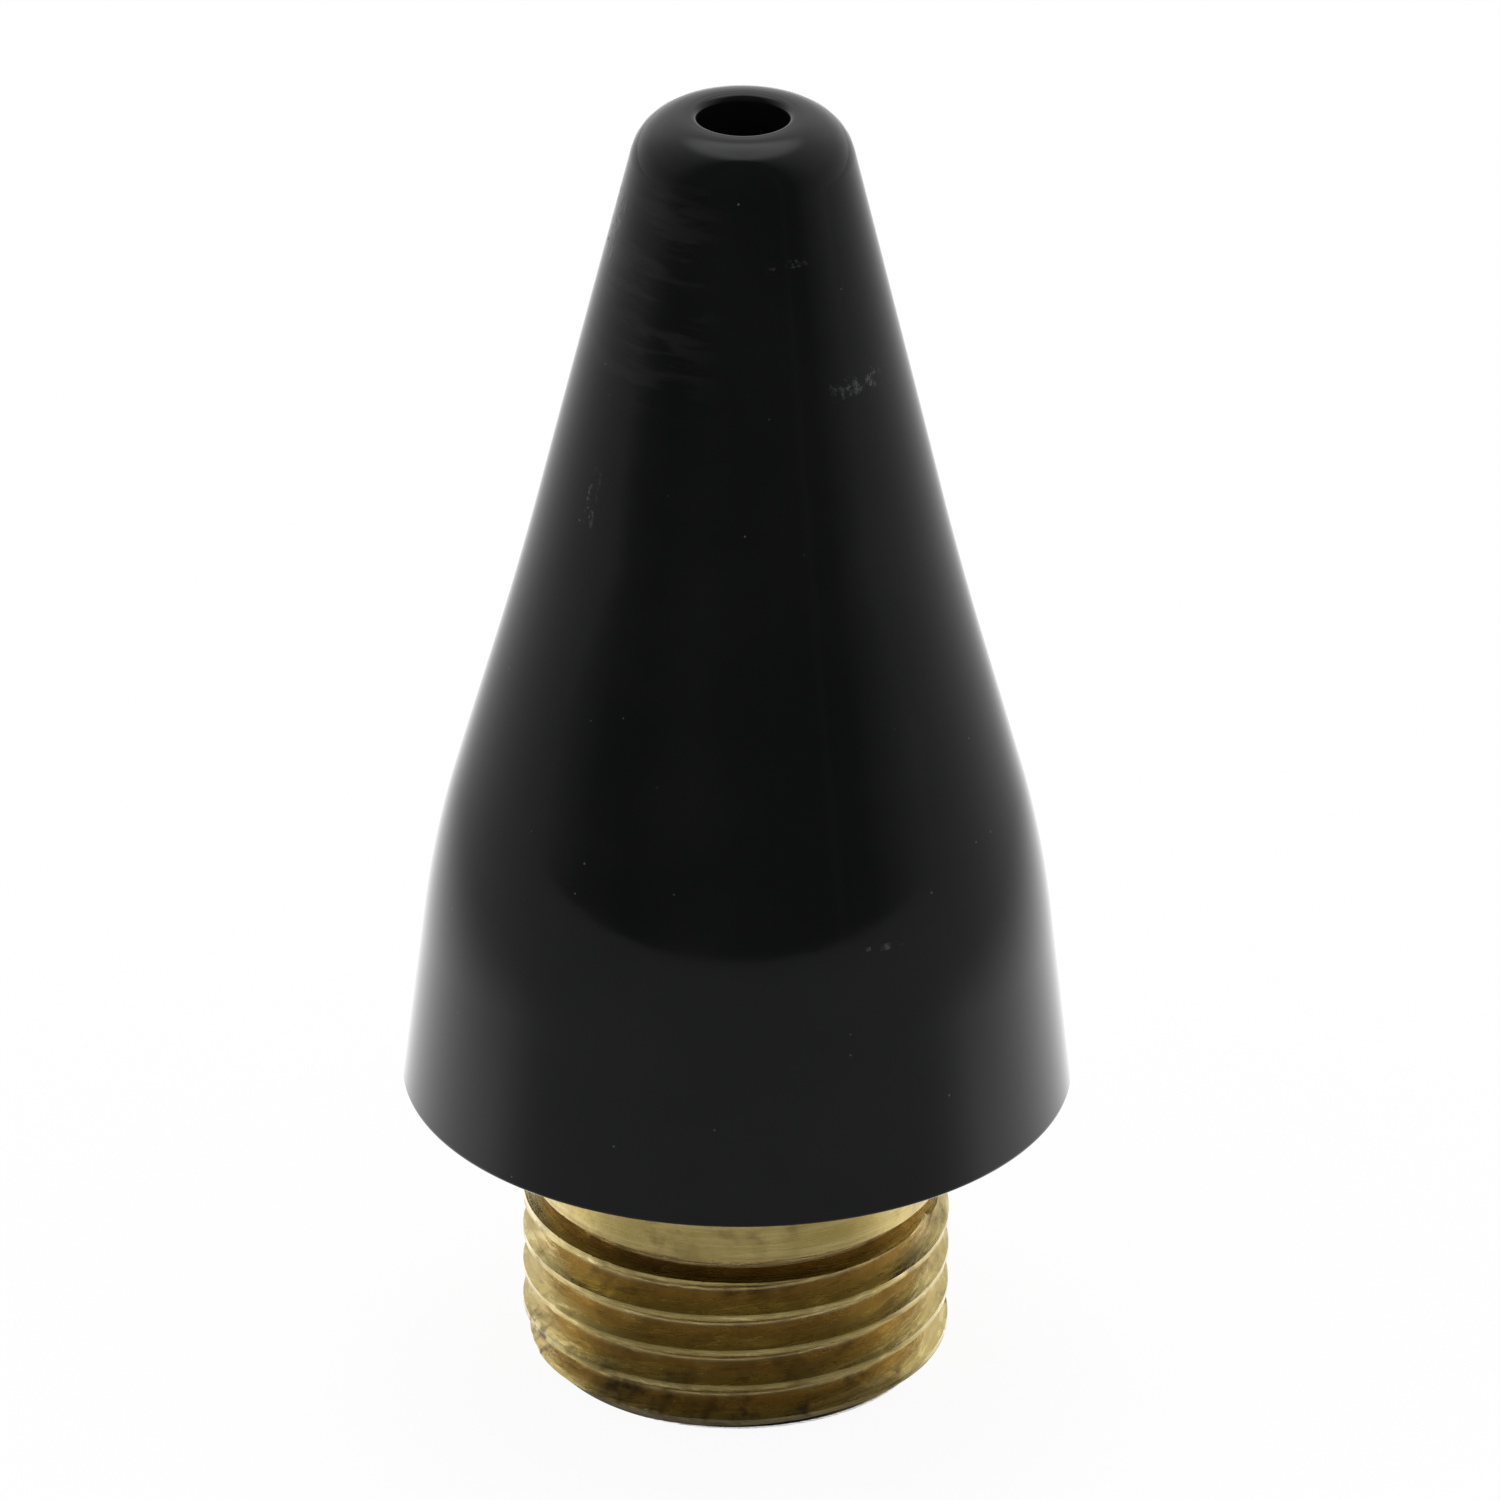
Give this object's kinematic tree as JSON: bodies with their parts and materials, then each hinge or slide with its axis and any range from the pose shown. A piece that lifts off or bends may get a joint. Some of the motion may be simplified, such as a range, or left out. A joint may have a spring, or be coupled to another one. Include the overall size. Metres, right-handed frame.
{
  "type": "pneumatic muffler",
  "caption": "Conical exhaust silencer: a glossy black nose shell with a small outlet, on a threaded brass spigot with a bored inlet and a sprung filter pack inside.",
  "frame": {"origin": "centre of the brass end face, which the part stands on", "axes": "+Z along the flow, from the inlet to the outlet; X and Y are free, since the part is turned"},
  "size_m": [0.0152, 0.0152, 0.0308],
  "materials": {
    "black_shell": "high gloss, faint scuffs",
    "turned_brass": "turned, lightly tarnished",
    "seal_rubber": "matte",
    "sintered_bronze": "sintered, grainy",
    "spring_steel": "drawn wire",
    "plated_steel": "satin plated",
    "felt": "pressed felt",
    "nylon": "natural"
  },
  "bodies": {
    "spigot_and_pack": {"threaded_spigot": "turned_brass", "shell_seal": "seal_rubber", "inlet_strainer": "sintered_bronze", "strainer_ring": "spring_steel", "seat_washer": "plated_steel", "diffuser_tube": "plated_steel", "diffuser_plug": "turned_brass", "absorber_sleeve": "felt", "front_retainer": "plated_steel", "pack_spring": "spring_steel"},
    "lifting_washer": {"thrust_washer": "nylon"},
    "turning_shell": {"nose_shell": "black_shell", "outlet_screen": "spring_steel"}
  },
  "joints": [
    {"name": "shell_lift", "type": "slide", "parent": "spigot_and_pack", "child": "lifting_washer", "axis": [0, 0, 1], "range_m": [0, 0.0034], "deforming": ["pack_spring"]},
    {"name": "shell_turn", "type": "hinge", "parent": "lifting_washer", "child": "turning_shell", "pos_m": [0, 0, 0.00696], "axis": [0, 0, 1], "range_deg": [0, 1224]}
  ],
  "couplings": [
    {"joint": "shell_turn", "follows": "shell_lift", "rad_per_m": 6283.2}
  ]
}
